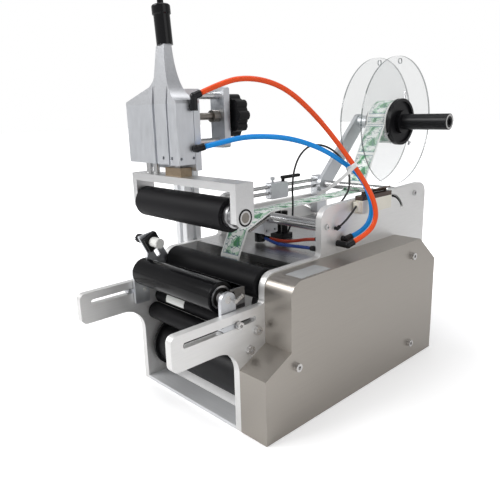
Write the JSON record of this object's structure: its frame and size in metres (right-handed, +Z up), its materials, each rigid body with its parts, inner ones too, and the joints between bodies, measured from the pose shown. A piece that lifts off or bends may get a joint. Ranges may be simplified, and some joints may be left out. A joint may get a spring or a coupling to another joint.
{
  "type": "bottle labelling machine",
  "caption": "Tabletop bottle labelling machine: side plates with slotted arms, bottle rollers, an air-driven press roller head, a label reel with web guides and a boxed side drive.",
  "frame": {"origin": "middle of the front foot bar's underside, on the bench between the side plates", "axes": "+X to the machine's drive side, +Y from the bottle rollers back to the label reel, +Z up"},
  "size_m": [0.2996, 0.7265, 0.544],
  "materials": {
    "plate_aluminium": "satin",
    "machined_aluminium": "satin",
    "stainless_sheet": "brushed",
    "steel": "bright",
    "chrome_rod": "polished",
    "brass": "satin",
    "black_rubber": "matte",
    "roller_black": "semi-gloss",
    "black_plastic": "satin",
    "white_nylon": "satin",
    "clear_acrylic": "clear",
    "paper": "matte",
    "cream_plastic": "satin",
    "smoky_plastic": "gloss",
    "motor_paint": "satin",
    "hose_orange": "gloss",
    "hose_blue": "gloss",
    "hose_red": "gloss",
    "hose_dark_blue": "gloss",
    "cable_black": "matte"
  },
  "bodies": {
    "frame": {"right_side_plate": "plate_aluminium", "left_side_plate": "plate_aluminium", "foot_bars": "plate_aluminium", "deck_panel": "stainless_sheet", "side_cover": "stainless_sheet", "cover_screws": "steel", "shaft_bearings": "steel", "gear_motor": "motor_paint", "drive_belts": "black_rubber", "nip_axles": "steel", "slide_housing": "machined_aluminium", "column_post": "plate_aluminium", "cross_bars": "steel", "guide_brackets": "machined_aluminium", "clamp_lever": "black_plastic", "reel_arm": "machined_aluminium", "label_web": "paper", "peel_plate": "steel", "brake_cylinder": "machined_aluminium", "web_sensor": "black_plastic", "hose_fittings": "black_plastic", "amplifier_box": "cream_plastic", "orange_hose": "hose_orange", "blue_hose": "hose_blue", "inner_orange_hose": "hose_red", "inner_blue_hose": "hose_dark_blue", "sensor_cable": "cable_black", "amplifier_cable": "cable_black"},
    "drive_roll": {"drive_roller": "black_rubber", "drive_shaft": "steel"},
    "rewind": {"rewind_drum": "black_plastic", "rewind_shaft": "steel"},
    "motor_output": {"motor_pulley": "steel"},
    "nip_upper": {"nip_roller_upper": "black_rubber"},
    "nip_lower": {"nip_roller_lower": "black_rubber"},
    "front_carriage": {"bracket_right": "machined_aluminium", "bracket_left": "machined_aluminium", "bracket_hardware": "steel", "guard_blade": "chrome_rod"},
    "front_roll": {"front_roller": "roller_black", "front_roller_bearings": "steel"},
    "bottle_stop": {"stop_pin": "white_nylon", "stop_clamp": "black_plastic"},
    "head_carriage": {"cylinder_block": "machined_aluminium", "head_shroud": "machined_aluminium", "lift_grip": "black_plastic", "head_fittings": "black_plastic", "carriage_plates": "machined_aluminium", "carriage_rods": "chrome_rod"},
    "depth_screw": {"adjusting_screw": "steel", "handwheel": "black_plastic"},
    "press_yoke": {"yoke_frame": "plate_aluminium", "yoke_rods": "chrome_rod", "rod_clamp": "brass"},
    "press_roll": {"press_roller": "black_rubber"},
    "reel": {"reel_discs": "clear_acrylic", "label_roll": "paper", "reel_hub": "black_plastic"},
    "amplifier_cover": {"amplifier_lid": "smoky_plastic"}
  },
  "joints": [
    {"name": "rewind_spin", "type": "hinge", "parent": "frame", "child": "rewind", "pos_m": [0, 0.03, 0.052], "axis": [1, 0, 0], "continuous": true},
    {"name": "drive_roller_spin", "type": "hinge", "parent": "frame", "child": "drive_roll", "pos_m": [0, 0.044, 0.182], "axis": [1, 0, 0], "continuous": true},
    {"name": "motor_spin", "type": "hinge", "parent": "frame", "child": "motor_output", "pos_m": [0, 0.144, 0.11], "axis": [1, 0, 0], "continuous": true},
    {"name": "nip_upper_spin", "type": "hinge", "parent": "frame", "child": "nip_upper", "pos_m": [0, 0.016, 0.1314], "axis": [1, 0, 0], "continuous": true},
    {"name": "nip_lower_spin", "type": "hinge", "parent": "frame", "child": "nip_lower", "pos_m": [0, 0.002, 0.1091], "axis": [1, 0, 0], "continuous": true},
    {"name": "front_carriage_slide", "type": "slide", "parent": "frame", "child": "front_carriage", "axis": [0, 1, 0], "range_m": [-0.056, 0.007]},
    {"name": "front_roller_spin", "type": "hinge", "parent": "front_carriage", "child": "front_roll", "pos_m": [0, -0.02, 0.178], "axis": [1, 0, 0], "continuous": true},
    {"name": "bottle_stop_slide", "type": "slide", "parent": "front_carriage", "child": "bottle_stop", "axis": [0, -0.4555, 0.8902], "range_m": [-0.01, 0.004]},
    {"name": "head_carriage_slide", "type": "slide", "parent": "frame", "child": "head_carriage", "axis": [0, 1, 0], "range_m": [-0.027, 0]},
    {"name": "depth_screw_turn", "type": "hinge", "parent": "head_carriage", "child": "depth_screw", "pos_m": [-0.053, 0.13, 0.3925], "axis": [0, 1, 0], "range_deg": [-1950, 6]},
    {"name": "press_yoke_slide", "type": "slide", "parent": "head_carriage", "child": "press_yoke", "axis": [0, 0, 1], "range_m": [-0.022, 0]},
    {"name": "press_roller_spin", "type": "hinge", "parent": "press_yoke", "child": "press_roll", "pos_m": [0, 0.0025, 0.277], "axis": [1, 0, 0], "continuous": true},
    {"name": "reel_spin", "type": "hinge", "parent": "frame", "child": "reel", "pos_m": [0, 0.494, 0.371], "axis": [1, 0, 0], "continuous": true},
    {"name": "amplifier_lid_hinge", "type": "hinge", "parent": "frame", "child": "amplifier_cover", "pos_m": [0.1122, 0.267, 0.2782], "axis": [0, -1, 0], "range_deg": [-22, 30]}
  ],
  "couplings": [
    {"joint": "drive_roller_spin", "follows": "rewind_spin", "ratio": 2.25},
    {"joint": "motor_spin", "follows": "rewind_spin", "ratio": 1.5},
    {"joint": "nip_lower_spin", "follows": "nip_upper_spin", "ratio": -1},
    {"joint": "depth_screw_turn", "follows": "head_carriage_slide", "rad_per_m": 1256.6}
  ]
}
